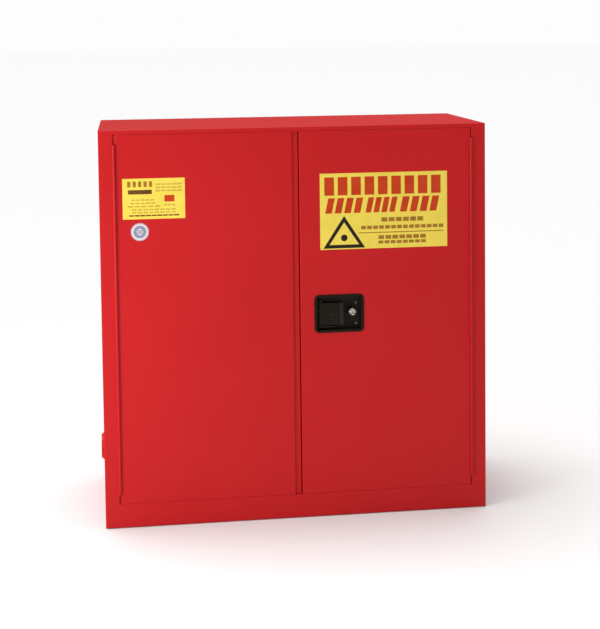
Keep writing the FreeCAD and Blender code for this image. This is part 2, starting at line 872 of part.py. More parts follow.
def make_handle():
    """The recessed handle: tray with bezel, paddle, pin, spring and lock."""
    left = "Dims.handle_left"
    right = "(Dims.handle_left + Dims.handle_length)"
    bottom = "Dims.handle_bottom"
    pan = plate(
        "handle_pan",
        "XZ",
        f"{FRONT} - Dims.bezel_proud",
        "Dims.bezel_proud",
        rectangle(left, bottom, right, HANDLE_TOP),
    )
    round_edges(
        pan,
        "14",
        {"x": left, "z": bottom},
        {"x": left, "z": HANDLE_TOP},
        {"x": right, "z": bottom},
        {"x": right, "z": HANDLE_TOP},
    )
    round_edges(pan, "2", {"y": f"{FRONT} - Dims.bezel_proud"})
    pad(
        pan,
        "XZ",
        FRONT,
        "Dims.tray_depth + Dims.tray_wall",
        rectangle(f"{left} + 5.5", f"{bottom} + 5.5", f"{right} - 5.5", f"{HANDLE_TOP} - 5.5"),
    )
    inside = rectangle(
        f"{left} + Dims.bezel",
        f"{bottom} + Dims.bezel",
        f"{right} - Dims.bezel",
        f"{HANDLE_TOP} - Dims.bezel",
    )
    pocket(
        pan,
        "XZ",
        f"{FRONT} - Dims.bezel_proud",
        "Dims.bezel_proud + Dims.tray_depth",
        inside,
    )
    # Two ears carry the paddle's pin, above and below the paddle.
    paddle_low = f"({bottom} + Dims.paddle_bottom)"
    paddle_high = f"({bottom} + Dims.paddle_top)"
    for low in (f"{paddle_low} - 6.5", f"{paddle_high} + 0.5"):
        ear = rectangle(
            f"{PIVOT_X} - 5",
            f"{PIVOT_Y} - 5",
            f"{PIVOT_X} + 5",
            f"{FRONT} + Dims.tray_depth",
        )
        pad(pan, "XY", low, "6", ear)
    pocket(
        pan,
        "XY",
        f"{paddle_low} - 6.5",
        f"{paddle_high} - {paddle_low} + 13",
        (PIVOT_X, PIVOT_Y, "2.05"),
    )
    window_low = f"{CAM_Z} + {LUG_RADIUS} * cos(Dims.cam_swing / 2) - 5"
    window = rectangle(
        f"{PIVOT_X} - 5",
        window_low,
        f"{PIVOT_X} + 18",
        f"{window_low} + 10",
    )
    tray_floor = f"{FRONT} + Dims.tray_depth"
    pocket(pan, "XZ", tray_floor, "Dims.tray_wall", window)
    lock = (f"{left} + Dims.lock_left", f"{bottom} + Dims.lock_bottom")
    pocket(pan, "XZ", tray_floor, "Dims.tray_wall", (*lock, "Dims.lock_radius - 1"))

    make_paddle(paddle_low, paddle_high, window_low)
    make_lock(lock)
    make_latch(window)

    screws = []
    head_y = number(f"{FRONT} + Dims.tray_depth")
    for height in (22, 81):
        centre = Vector(number(f"{left} + 121"), head_y, number(f"{bottom} + {height}"))
        head = Part.makeCylinder(3.2, 2, centre, Vector(0, -1, 0))
        slot = Part.makeBox(8, 0.8, 1, centre + Vector(-4, -2, -0.5))
        screws.append(head.cut(slot))
    group("handle_screws", screws)


def make_paddle(low, high, window_low):
    """The paddle: a hinged plate with a raised grip, a boss and a tail that works the cam."""
    body = new_body("paddle")
    plate_front = f"{FRONT} - 1"
    left = "Dims.handle_left + Dims.paddle_left"
    right = "Dims.handle_left + Dims.paddle_right"
    pad(body, "XZ", plate_front, "3", rectangle(left, low, right, high))
    barrel = (PIVOT_X, PIVOT_Y, "4.5")
    web = rectangle(f"{PIVOT_X} - 2.5", f"{FRONT} + 1", f"{PIVOT_X} + 2.5", PIVOT_Y)
    barrel_low = f"({low} + 20)"
    pad(body, "XY", barrel_low, f"{high} - {barrel_low}", barrel)
    pad(body, "XY", barrel_low, f"{high} - {barrel_low}", web)
    grip = rectangle(f"{right} - 12", low, f"{right} - 1", high)
    pad(body, "XZ", f"{FRONT} - 3.5", "2.5", grip)
    round_edges(body, "1", {"y": f"{FRONT} - 3.5"})
    boss = ("Dims.handle_left + 52", f"{low} + 30", "5")
    pad(body, "XZ", f"{FRONT} - 2.5", "1.5", boss)
    tail = rectangle(
        f"{PIVOT_X} - {TAIL_HALF}",
        PIVOT_Y,
        f"{PIVOT_X} + {TAIL_HALF}",
        f"{PIVOT_Y} + Dims.tail_length",
    )
    pad(body, "XY", f"{window_low} + 2", "6", tail)
    pocket(body, "XY", low, f"{high} - {low}", (PIVOT_X, PIVOT_Y, "2.06"))

    pin = new_body("paddle_pin")
    pin_low = f"({low} - 6.5)"
    pad(pin, "XY", pin_low, f"{high} + 6.5 - {pin_low}", (PIVOT_X, PIVOT_Y, "2"))
    pad(pin, "XY", f"{high} + 6.5", "1.2", (PIVOT_X, PIVOT_Y, "3.2"))

    # The torsion spring is coiled round the pin below the paddle's barrel.
    wire, coil = 0.8, 3.4
    coils = Part.makeHelix(2.6, 10.4, coil)
    start = Part.Wire([Part.makeCircle(wire, Vector(coil, 0, 0), Vector(0, 1, 0))])
    spring = Part.Wire(coils.Edges).makePipeShell([start], True, True)
    spring.translate(Vector(number(PIVOT_X), number(PIVOT_Y), number(f"{low} + 4")))
    leg = Part.makeCylinder(
        wire,
        number("Dims.tray_depth - Dims.pivot_depth"),
        Vector(number(f"{PIVOT_X} + {coil}"), number(PIVOT_Y), number(f"{low} + 4")),
        Vector(0, 1, 0),
    )
    feature = doc.addObject("Part::Feature", "paddle_spring")
    feature.Shape = spring.fuse(leg)
    subparts["paddle_spring"] = feature


def make_lock(centre):
    """The key lock beside the paddle: a fixed barrel, and a plug with its tail."""
    barrel = new_body("lock_barrel")
    front = f"{FRONT} - 1.5"
    pad(barrel, "XZ", front, "Dims.tray_depth + 1.5", (*centre, "Dims.lock_radius"))
    round_edges(barrel, "1.2", {"y": front})
    pocket(barrel, "XZ", front, "Dims.tray_depth + 1.5", (*centre, "Dims.plug_radius + 0.06"))

    plug = new_body("lock_plug")
    pad(plug, "XZ", front, f"{LATCH_FACE} + 3.5 - ({front})", (*centre, "Dims.plug_radius"))
    x, z = centre
    keyway = rectangle(f"{x} - 0.8", f"{z} - 4", f"{x} + 0.8", f"{z} + 4")
    pocket(plug, "XZ", front, "8", keyway)
    tail = rectangle(f"{x} - 5", f"{z} - 6", f"{x} + 5", f"{z} + 20")
    pad(plug, "XZ", f"{LATCH_FACE} + 1.5", "2", tail)


def make_latch(window):
    """The latch behind the tray: plate with stud, cam, two rods and the centre bolt."""
    depth, thickness = PLATE_LAYER
    base = new_body("latch_plate")
    outline = rectangle(
        "Dims.handle_left + 6",
        "Dims.handle_bottom + 8",
        f"{CAM_X} + 30",
        f"{HANDLE_TOP} - 8",
    )
    pad(base, "XZ", f"{LATCH_FACE} + {depth}", thickness, outline, window)
    stud_end = sum(YOKE_LAYER)
    stud_length = stud_end - sum(PLATE_LAYER)
    stud_start = f"{LATCH_FACE} + {sum(PLATE_LAYER)}"
    pad(base, "XZ", stud_start, stud_length, (CAM_X, CAM_Z, "5"))

    tilt = number("Dims.cam_swing / 2")
    crank = number("Dims.crank_radius")
    lug = number(LUG_RADIUS)

    def on_cam(radius, turn):
        """The place of a point of the cam at rest, its turn measured from +X to +Z."""
        x = f"{CAM_X} + {radius} * cos({turn})"
        z = f"{CAM_Z} + {radius} * sin({turn})"
        return x, z

    right_pin = on_cam(crank, tilt)
    left_pin = on_cam(crank, 180 + tilt)
    lug_pin = on_cam(lug, 90 + tilt)

    cam = new_body("latch_cam")
    depth, thickness = CAM_LAYER
    cam_front = f"{LATCH_FACE} + {depth}"
    pad(cam, "XZ", cam_front, thickness, (CAM_X, CAM_Z, "11"))
    for radius, turn, half in ((crank, tilt, 6), (crank, 180 + tilt, 6), (lug, 90 + tilt, 3)):
        across = math.degrees(math.atan2(half, radius))
        reach = math.hypot(radius, half)
        root = math.degrees(math.atan2(half, 4))
        arm = [
            on_cam(math.hypot(4, half), turn - root),
            on_cam(reach, turn - across),
            on_cam(reach, turn + across),
            on_cam(math.hypot(4, half), turn + root),
        ]
        pad(cam, "XZ", cam_front, thickness, arm)
        pad(cam, "XZ", cam_front, thickness, (*on_cam(radius, turn), half))
    pin_start = f"{cam_front} + {thickness}"
    yoke_back = sum(YOKE_LAYER) + 0.3
    for pin in (right_pin, left_pin):
        pad(cam, "XZ", pin_start, yoke_back - sum(CAM_LAYER), (*pin, "Dims.crank_pin"))
    pad(cam, "XZ", pin_start, sum(BOLT_LAYER) - sum(CAM_LAYER), (*lug_pin, "Dims.crank_pin"))
    pocket(cam, "XZ", cam_front, thickness, (CAM_X, CAM_Z, "5.06"))

    depth, thickness = YOKE_LAYER
    yoke_front = f"{LATCH_FACE} + {depth}"
    rod_y = f"{FRONT} + Dims.rod_depth"
    ends = {
        "top_rod": (1, right_pin, f"{CAM_X} + Dims.crank_radius", "Dims.door_top + Dims.rod_reach"),
        "bottom_rod": (
            -1,
            left_pin,
            f"{CAM_X} - Dims.crank_radius",
            "Dims.door_bottom - Dims.rod_reach",
        ),
    }
    slot_half = "(Dims.crank_pin + 0.4)"
    for name, (up, (_, pin_z), rod_x, tip) in ends.items():
        rod = new_body(name)
        near = f"{pin_z} + {up * -8}"
        far = f"{pin_z} + {up * 22}"
        low, high = (near, far) if up > 0 else (far, near)
        yoke = rectangle(f"{rod_x} - 10", low, f"{rod_x} + 10", high)
        pad(rod, "XZ", yoke_front, thickness, yoke)
        bar_root = f"{pin_z} + {up * 16}"
        low, high = (bar_root, tip) if up > 0 else (tip, bar_root)
        pad(rod, "XY", low, f"({high}) - ({low})", (rod_x, rod_y, "Dims.rod_radius"))
        # The cam's pin moves inwards a little as it turns, so its slot is wider than the pin.
        sweep = f"(Dims.crank_radius * (1 - cos(Dims.cam_swing / 2)) + {slot_half})"
        slot = rectangle(
            f"{rod_x} - {sweep}",
            f"{pin_z} - {slot_half}",
            f"{rod_x} + {sweep}",
            f"{pin_z} + {slot_half}",
        )
        pocket(rod, "XZ", yoke_front, thickness, slot)

    bolt = new_body("centre_bolt")
    depth, thickness = BOLT_LAYER
    lug_x, lug_z = lug_pin
    tip = f"(Dims.right_door_edge - {HALF} - Dims.bolt_reach)"
    bar = rectangle(tip, f"{lug_z} - 7", f"{lug_x} + 7.5", f"{lug_z} + 7")
    lift = f"({LUG_RADIUS} * (1 - cos(Dims.cam_swing / 2)) + {slot_half})"
    slot = rectangle(
        f"{lug_x} - {slot_half}",
        f"{lug_z} - {slot_half}",
        f"{lug_x} + {slot_half}",
        f"{lug_z} + {lift}",
    )
    pad(bolt, "XZ", f"{LATCH_FACE} + {depth}", thickness, bar, slot)

    # A guide block at the far end of each rod fills the depth between the door's skins.
    guides = []
    bore = number("Dims.rod_radius + 0.4")
    inside = number(f"{FRONT} + Dims.gauge")
    room = number("Dims.door_thickness - 2 * Dims.gauge")
    places = (
        (f"{CAM_X} + Dims.crank_radius", "Dims.door_top - Dims.gauge - 20"),
        (f"{CAM_X} - Dims.crank_radius", "Dims.door_bottom + Dims.gauge"),
    )
    for x, z in places:
        corner = Vector(number(x) - 12, inside, number(z))
        block = Part.makeBox(24, room, 20, corner)
        axis = Vector(number(x), number(rod_y), number(z))
        guides.append(block.cut(Part.makeCylinder(bore, 20, axis)))
    group("rod_guides", guides)


def make_labels():
    """Three adhesive labels on the doors, thin enough to lie on the faces."""
    level = f"{FRONT} - Dims.label_thickness"
    for kind in ("warning", "data"):
        outline = rectangle(
            f"Dims.{kind}_left - {HALF}",
            f"Dims.{kind}_bottom",
            f"Dims.{kind}_right - {HALF}",
            f"Dims.{kind}_top",
        )
        plate(f"{kind}_label", "XZ", level, "Dims.label_thickness", outline)
    seal = (f"Dims.seal_left - {HALF}", "Dims.seal_bottom", "Dims.seal_radius")
    plate("seal_label", "XZ", level, "Dims.label_thickness", seal)


make_carcass_shell()
make_sides()
make_rails()
make_inner_shell()
make_shelf()
make_vent("left", SIDES["left"], "Dims.vent_low")
make_vent("right", SIDES["right"], "Dims.vent_high")
make_feet()
make_earthing_stud()
for hinge_name, hinge_side in SIDES.items():
    make_hinge(hinge_name, hinge_side)
make_left_door()
make_right_door()
make_handle()
make_labels()

doc.recompute()
for thing in doc.Objects:
    if "Invalid" in thing.State or "Error" in thing.State:
        raise ValueError(f"{thing.Name} is {thing.State}")
for name, thing in subparts.items():
    thing.Label = name
    if thing.Shape.isNull() or not thing.Shape.isValid():
        raise ValueError(f"{name} has no valid shape")

os.makedirs("parts", exist_ok=True)
for name, thing in subparts.items():
    thing.Shape.exportStep(f"parts/{name}.step")
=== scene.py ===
import json
import math

import bmesh
import bpy
from mathutils import Matrix, Vector


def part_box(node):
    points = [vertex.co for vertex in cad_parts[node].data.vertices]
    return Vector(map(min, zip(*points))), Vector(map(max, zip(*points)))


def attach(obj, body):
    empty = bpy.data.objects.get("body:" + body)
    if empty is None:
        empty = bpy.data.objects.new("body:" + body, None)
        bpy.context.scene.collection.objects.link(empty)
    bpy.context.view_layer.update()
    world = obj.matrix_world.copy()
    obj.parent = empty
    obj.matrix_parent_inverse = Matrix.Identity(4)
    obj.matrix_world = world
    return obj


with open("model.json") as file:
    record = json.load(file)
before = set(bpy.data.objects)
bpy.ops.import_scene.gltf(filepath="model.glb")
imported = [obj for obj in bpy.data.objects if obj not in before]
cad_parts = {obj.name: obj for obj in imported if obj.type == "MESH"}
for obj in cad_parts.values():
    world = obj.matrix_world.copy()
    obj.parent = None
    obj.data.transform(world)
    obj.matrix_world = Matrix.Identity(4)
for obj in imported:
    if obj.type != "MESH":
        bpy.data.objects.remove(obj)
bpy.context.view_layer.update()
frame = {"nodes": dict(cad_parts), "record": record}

# The looks of a two-door flammable storage cabinet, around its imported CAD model. Metres.
nodes = frame["nodes"]
MM = 0.001


# ---------------------------------------------------------------- camera, light and floor

CAMERA_PLACE = Vector((-0.4626, -3.9385, 1.3889))
CAMERA_YAW = math.radians(-7.71)
CAMERA_PITCH = math.radians(-3.85)
CAMERA_ROLL = math.radians(0.63)
LENS_MM = 76.79
SENSOR_MM = 36
SHIFT = (-0.0146, -0.3095)
FLOOR_REACH = 100


def make_camera():
    """A camera above and slightly left of the doors, with its lens shifted down."""
    data = bpy.data.cameras.new("camera")
    data.lens = LENS_MM
    data.sensor_width = SENSOR_MM
    data.sensor_fit = "AUTO"
    data.shift_x, data.shift_y = SHIFT
    data.clip_end = 200
    camera = bpy.data.objects.new("camera", data)
    bpy.context.scene.collection.objects.link(camera)
    turn = Matrix.Rotation(CAMERA_YAW, 4, "Z") @ Matrix.Rotation(CAMERA_PITCH, 4, "X")
    turn = turn @ Matrix.Rotation(CAMERA_ROLL, 4, "Y") @ Matrix.Rotation(math.pi / 2, 4, "X")
    camera.matrix_world = Matrix.Translation(CAMERA_PLACE) @ turn
    bpy.context.scene.camera = camera


def add_lamp(name, kind, place, target, power):
    """A lamp that faces a target point."""
    data = bpy.data.lights.new(name, kind)
    data.energy = power
    lamp = bpy.data.objects.new(name, data)
    bpy.context.scene.collection.objects.link(lamp)
    lamp.location = place
    lamp.rotation_euler = (Vector(target) - Vector(place)).to_track_quat("-Z", "Y").to_euler()
    return data


def make_studio():
    """A white backdrop, a broad soft key from the upper left, a side lamp and a pale floor."""
    world = bpy.data.worlds.new("studio")
    bpy.context.scene.world = world
    world.use_nodes = True
    tree = world.node_tree
    background = tree.nodes["Background"]
    background.inputs["Color"].default_value = (1, 1, 1, 1)
    rays = tree.nodes.new("ShaderNodeLightPath")
    strength = tree.nodes.new("ShaderNodeMapRange")
    strength.inputs["To Min"].default_value = 0.2
    strength.inputs["To Max"].default_value = 0.98
    tree.links.new(rays.outputs["Is Camera Ray"], strength.inputs["Value"])
    tree.links.new(strength.outputs["Result"], background.inputs["Strength"])

    middle = (0, 0, 0.6)
    key = add_lamp("key", "SUN", (-0.3, 0.2, 3.6), middle, 3.6)
    key.angle = math.radians(50)
    side = add_lamp("side", "AREA", (-1.65, -1.3, 0.7), (-0.3, -0.2, 0.6), 18)
    side.size = 0.6

    mesh = bpy.data.meshes.new("floor")
    reach = FLOOR_REACH
    corners = [(-reach, -reach, 0), (reach, -reach, 0), (reach, reach, 0), (-reach, reach, 0)]
    mesh.from_pydata(corners, [], [(0, 1, 2, 3)])
    floor = bpy.data.objects.new("floor", mesh)
    bpy.context.scene.collection.objects.link(floor)
    material, tree, shader = new_material("floor_white")
    shader.inputs["Base Color"].default_value = (0.75, 0.75, 0.75, 1)
    shader.inputs["Roughness"].default_value = 0.8
    floor.data.materials.append(material)
    bpy.context.scene.view_settings.view_transform = "Standard"


# ---------------------------------------------------------------- materials


def new_material(name):
    """An empty node material with one Principled shader."""
    material = bpy.data.materials.new(name)
    material.use_nodes = True
    tree = material.node_tree
    tree.nodes.clear()
    output = tree.nodes.new("ShaderNodeOutputMaterial")
    shader = tree.nodes.new("ShaderNodeBsdfPrincipled")
    tree.links.new(shader.outputs["BSDF"], output.inputs["Surface"])
    return material, tree, shader


def noise(tree, scale, detail=2.0, stretch=(1, 1, 1)):
    """A noise texture in the object's own coordinates."""
    place = tree.nodes.new("ShaderNodeTexCoord")
    mapping = tree.nodes.new("ShaderNodeMapping")
    mapping.inputs["Scale"].default_value = stretch
    texture = tree.nodes.new("ShaderNodeTexNoise")
    texture.inputs["Scale"].default_value = scale
    texture.inputs["Detail"].default_value = detail
    tree.links.new(place.outputs["Object"], mapping.inputs["Vector"])
    tree.links.new(mapping.outputs["Vector"], texture.inputs["Vector"])
    return texture.outputs["Fac"]


def ramp(tree, value, low, high, start=0.3, end=0.7):
    """A colour or a grey that goes from low to high as the value goes from start to end."""
    node = tree.nodes.new("ShaderNodeValToRGB")
    stops = node.color_ramp.elements
    stops[0].position, stops[1].position = start, end
    for stop, level in zip(stops, (low, high)):
        stop.color = (*level, 1) if isinstance(level, tuple) else (level, level, level, 1)
    tree.links.new(value, node.inputs["Fac"])
    return node.outputs["Color"]


def bump(tree, shader, value, strength, distance):
    """Raises the surface by a texture's value."""
    node = tree.nodes.new("ShaderNodeBump")
    node.inputs["Strength"].default_value = strength
    node.inputs["Distance"].default_value = distance
    tree.links.new(value, node.inputs["Height"])
    tree.links.new(node.outputs["Normal"], shader.inputs["Normal"])


def powder_coat(name, dark, light):
    """Powder coat: an even colour with a slight drift, and a fine orange peel."""
    material, tree, shader = new_material(name)
    link = tree.links.new
    link(ramp(tree, noise(tree, 2.2, 3), dark, light), shader.inputs["Base Color"])
    link(ramp(tree, noise(tree, 60, 4), 0.38, 0.48), shader.inputs["Roughness"])
    shader.inputs["Specular IOR Level"].default_value = 0.22
    bump(tree, shader, noise(tree, 420, 1), 0.12, 0.0004)
    return material


def metal(name, dark, light, rough, scale=40, stretch=(1, 1, 1), peel=0.05):
    """A metal whose colour and roughness vary a little over the surface."""
    material, tree, shader = new_material(name)
    link = tree.links.new
    pattern = noise(tree, scale, 4, stretch)
    link(ramp(tree, pattern, dark, light), shader.inputs["Base Color"])
    link(ramp(tree, pattern, rough[0], rough[1]), shader.inputs["Roughness"])
    shader.inputs["Metallic"].default_value = 1
    bump(tree, shader, noise(tree, scale * 8, 2, stretch), peel, 0.0003)
    return material


def plastic(name, dark, light, rough, grain=900, depth=0.2, shine=0.5):
    """A moulded plastic with a fine grain."""
    material, tree, shader = new_material(name)
    shader.inputs["Specular IOR Level"].default_value = shine
    link = tree.links.new
    link(ramp(tree, noise(tree, 30, 3), dark, light), shader.inputs["Base Color"])
    link(ramp(tree, noise(tree, 120, 3), rough[0], rough[1]), shader.inputs["Roughness"])
    bump(tree, shader, noise(tree, grain, 2), depth, 0.0003)
    return material


def label_stock(name, dark, light):
    """Printed film: nearly even, slightly shiny and almost smooth."""
    return plastic(name, dark, light, (0.35, 0.45), grain=1500, depth=0.03, shine=0.2)


def make_materials():
    """Every material by name."""
    return {
        "red": powder_coat("red_powder_coat", (0.548, 0.006, 0.008), (0.586, 0.008, 0.010)),
        "zinc": metal("galvanised", (0.50, 0.52, 0.54), (0.74, 0.75, 0.76), (0.3, 0.5), 25),
        "mesh": metal("vent_mesh", (0.35, 0.35, 0.36), (0.5, 0.5, 0.5), (0.3, 0.45), 200),
        "brass": metal("brass", (0.62, 0.44, 0.18), (0.78, 0.60, 0.30), (0.2, 0.35), 80),
        "nickel": metal("nickel", (0.16, 0.13, 0.11), (0.72, 0.66, 0.60), (0.12, 0.3), 150),
        "black": plastic(
            "black_plastic", (0.010, 0.007, 0.003), (0.015, 0.010, 0.005), (0.3, 0.45), shine=0.1
        ),
        # A slightly lighter, shinier black for the grip pad, boss ring and ledge: painted highlight
        # standing in for the edge highlights the near-black plastic doesn't catch.
        "highlit_black": plastic(
            "black_painted_highlight", (0.015, 0.011, 0.010), (0.022, 0.017, 0.016), (0.4, 0.5), shine=0.18
        ),
        "dark_steel": metal("dark_steel", (0.08, 0.075, 0.07), (0.16, 0.15, 0.14), (0.3, 0.45), 90),
        "nylon": plastic("nylon", (0.68, 0.67, 0.62), (0.78, 0.77, 0.72), (0.4, 0.5)),
        "yellow": label_stock("label_yellow", (0.88, 0.68, 0.085), (0.94, 0.74, 0.105)),
        "white": label_stock("label_white", (0.72, 0.64, 0.67), (0.78, 0.70, 0.73)),
        "print_red": label_stock("print_red", (0.54, 0.04, 0.004), (0.62, 0.055, 0.006)),
        "print_black": label_stock("print_black", (0.012, 0.008, 0.003), (0.02, 0.014, 0.006)),
        "print_brown": label_stock("print_brown", (0.34, 0.16, 0.014), (0.42, 0.20, 0.02)),
        "print_faint": label_stock("print_faint", (0.56, 0.38, 0.05), (0.64, 0.44, 0.06)),
        "print_dark": label_stock("print_dark", (0.12, 0.045, 0.006), (0.17, 0.07, 0.01)),
        "print_grey": label_stock("print_grey", (0.16, 0.20, 0.20), (0.22, 0.26, 0.26)),
        "print_blue": label_stock("print_blue", (0.18, 0.22, 0.42), (0.24, 0.28, 0.48)),
    }


SLOT_MATERIALS = {
    "red_paint": "red",
    "zinc_steel": "zinc",
    "vent_mesh": "mesh",
    "brass": "brass",
    "black_plastic": "black",
    "black_metal": "black",
    "nickel": "nickel",
    "dark_steel": "dark_steel",
    "nylon": "nylon",
    "label_yellow": "yellow",
    "label_white": "white",
}


def paint_nodes(materials):
    """Gives each CAD node the material of its slot in the record."""
    for part in frame["record"]["subparts"]:
        node = nodes[part["node"]]
        node.data.materials.clear()
        node.data.materials.append(materials[SLOT_MATERIALS[part["material_slot"]]])


# ---------------------------------------------------------------- shapes for new pieces


def add_piece(name, work, material, body, smooth=True):
    """Turns a bmesh into a named piece that rides on a body."""
    bmesh.ops.recalc_face_normals(work, faces=work.faces)
    mesh = bpy.data.meshes.new(name)
    work.to_mesh(mesh)
    work.free()
    mesh.materials.append(material)
    if smooth:
        mesh.shade_smooth()
        mesh.set_sharp_from_angle(angle=math.radians(40))
    piece = bpy.data.objects.new(name, mesh)
    bpy.context.scene.collection.objects.link(piece)
    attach(piece, body)
    return piece


def add_block(work, low, high, radius):
    """A box with rounded edges between two corners, in millimetres."""
    made = bmesh.ops.create_cube(work, size=1)["verts"]
    low, high = Vector(low) * MM, Vector(high) * MM
    for vert in made:
        vert.co = [(a + b) / 2 + c * (b - a) for a, b, c in zip(low, high, vert.co)]
    edges = list({edge for vert in made for edge in vert.link_edges})
    bmesh.ops.bevel(work, geom=edges, offset=radius * MM, segments=3, profile=0.5, affect="EDGES")


def add_turned(work, centre, axis, profile, steps=40, hollow=False):
    """A shape turned about an axis: the profile lists (radius, distance along the axis).

    A hollow one is a ring whose profile closes on itself; otherwise its ends are filled."""
    axis = Vector(axis).normalized()
    across = axis.orthogonal().normalized()
    other = axis.cross(across)
    centre = Vector(centre) * MM
    rings = []
    for radius, along in profile:
        base = centre + axis * along * MM
        if radius == 0:
            rings.append([work.verts.new(base)])
            continue
        turns = [2 * math.pi * step / steps for step in range(steps)]
        spokes = [across * math.cos(turn) + other * math.sin(turn) for turn in turns]
        rings.append([work.verts.new(base + spoke * radius * MM) for spoke in spokes])
    next_rings = rings[1:] + rings[:1] if hollow else rings[1:]
    for near, far in zip(rings, next_rings):
        for step in range(steps):
            following = (step + 1) % steps
            corners = [near[step % len(near)], near[following % len(near)]]
            corners += [far[following % len(far)], far[step % len(far)]]
            work.faces.new(dict.fromkeys(corners))
    for end in () if hollow else (rings[0], rings[-1]):
        if len(end) > 1:
            work.faces.new(end)


# ---------------------------------------------------------------- handle, vents and trim

# Millimetres from here on, with x and z from the middle of the floor under the cabinet.
LOCK_X, LOCK_Z = 158, 588.5
BOSS_X, BOSS_Z = 101, 583
PAD_LEFT, PAD_RIGHT = 121.6, 131.4
PAD_LOW, PAD_HIGH = 553.6, 615.4
LEDGE_LEFT, LEDGE_RIGHT = 66, 107
LEDGE_LOW, LEDGE_HIGH = 545.5, 549.5
RIBS = 30
CAP_STEP = 4.5  # from the cap's widest edge in to its rim
THREAD_PITCH = 1
THREAD_ROOT, THREAD_CREST = 3.02, 3.3
COVER_LOW, COVER_HIGH = (60, 520), (206, 652)
SCREW_INSET = 10
BUFFER_X = 60
BUFFER_HEIGHTS = (95, 1090)
ROUNDED = {
    "outer_top": 0.6,
    "handle_pan": 0.4,
    "paddle": 0.4,
    "left_vent_cap": 0.4,
    "right_vent_cap": 0.4,
    "earthing_nut": 0.4,
    "shelf": 0.4,
}

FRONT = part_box("plinth_front")[0].y / MM
DOOR_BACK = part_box("right_door_inner")[1].y / MM


def detail_handle(materials):
    """The grip pad and boss on the paddle, the lock's rim, and the ledge below the paddle."""
    # The pad, boss and ledge take the lighter black, a painted highlight so their edges show
    # against the paddle.
    grip = bmesh.new()
    low, high = (PAD_LEFT, FRONT - 4.4, PAD_LOW), (PAD_RIGHT, FRONT - 3.0, PAD_HIGH)
    add_block(grip, low, high, 0.6)
    add_piece("paddle_grip_pad", grip, materials["highlit_black"], "paddle")
    boss = bmesh.new()
    profile = [(5.2, 0), (5.2, 1.6), (4.7, 2.2), (3.2, 2.2), (2.6, 1.6), (0, 1.4)]
    add_turned(boss, (BOSS_X, FRONT - 1, BOSS_Z), (0, -1, 0), profile)
    add_piece("paddle_boss_ring", boss, materials["highlit_black"], "paddle")
    rim = bmesh.new()
    profile = [(7.8, 0), (8.1, 0.9), (8.8, 1.4), (9.6, 1), (10, 0.2), (10, -1), (7.8, -1)]
    add_turned(rim, (LOCK_X, FRONT - 1.5, LOCK_Z), (0, -1, 0), profile, hollow=True)
    add_piece("lock_rim", rim, materials["nickel"], "right_door")
    ledge = bmesh.new()
    low, high = (LEDGE_LEFT, FRONT + 3.5, LEDGE_LOW), (LEDGE_RIGHT, FRONT + 14.9, LEDGE_HIGH)
    add_block(ledge, low, high, 0.8)
    add_piece("tray_ledge", ledge, materials["highlit_black"], "right_door")


def detail_vents(materials):
    """Grip ribs round the edge of both vent caps."""
    for side in ("left", "right"):
        low, high = (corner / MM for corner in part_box(f"{side}_vent_cap"))
        middle = (low + high) / 2
        radius = (high.y - low.y) / 2 - CAP_STEP
        outer = low.x if side == "left" else high.x
        inward = 1 if side == "left" else -1
        ends = sorted((outer + 0.8 * inward, outer + 6.5 * inward))
        ribs = bmesh.new()
        for step in range(RIBS):
            rib = bmesh.new()
            add_block(rib, (ends[0], radius - 0.8, -0.9), (ends[1], radius + 0.7, 0.9), 0.3)
            turn = Matrix.Rotation(2 * math.pi * step / RIBS, 4, "X")
            place = Matrix.Translation(Vector((0, middle.y, middle.z)) * MM) @ turn
            bmesh.ops.transform(rib, matrix=place, verts=rib.verts)
            shape = bpy.data.meshes.new("rib")
            rib.to_mesh(shape)
            rib.free()
            ribs.from_mesh(shape)
            bpy.data.meshes.remove(shape)
        add_piece(f"{side}_vent_ribs", ribs, materials["red"], f"{side}_vent_cap")


def detail_earthing(materials):
    """The thread on the free end of the earthing stud."""
    low, high = (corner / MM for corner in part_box("earthing_stud"))
    centre = (0, (low.y + high.y) / 2, (low.z + high.z) / 2)
    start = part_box("earthing_nut")[1].x / MM + 0.3
    count = int((high.x - 0.6 - start) / THREAD_PITCH)
    profile = []
    for turn in range(count):
        base = start + turn * THREAD_PITCH
        profile += [(THREAD_ROOT, base), (THREAD_CREST, base + THREAD_PITCH / 2)]
    profile += [(THREAD_ROOT, start + count * THREAD_PITCH)]
    thread = bmesh.new()
    add_turned(thread, centre, (1, 0, 0), profile)
    add_piece("earthing_thread", thread, materials["brass"], "cabinet")


def detail_door_backs(materials):
    """A cover with four screws over the latch, and two rubber buffers on each door."""
    cover = bmesh.new()
    low = (COVER_LOW[0], DOOR_BACK - 0.2, COVER_LOW[1])
    high = (COVER_HIGH[0], DOOR_BACK + 2.5, COVER_HIGH[1])
    add_block(cover, low, high, 1.2)
    add_piece("latch_cover", cover, materials["red"], "right_door")
    screws = bmesh.new()
    head = [(3.6, 0), (3.6, 1), (2.9, 1.7), (1.6, 2), (1.3, 1.2), (0, 1.2)]
    for x in (COVER_LOW[0] + SCREW_INSET, COVER_HIGH[0] - SCREW_INSET):
        for z in (COVER_LOW[1] + SCREW_INSET, COVER_HIGH[1] - SCREW_INSET):
            add_turned(screws, (x, DOOR_BACK + 2.4, z), (0, 1, 0), head, 24)
    add_piece("latch_cover_screws", screws, materials["zinc"], "right_door")
    buffer = [(7, 0), (7, 0.8), (6.3, 1.4), (0, 1.4)]
    for side, direction in (("left", -1), ("right", 1)):
        buffers = bmesh.new()
        for z in BUFFER_HEIGHTS:
            place = (direction * BUFFER_X, DOOR_BACK - 0.1, z)
            add_turned(buffers, place, (0, 1, 0), buffer, 32)
        add_piece(f"{side}_door_buffers", buffers, materials["black"], f"{side}_door")


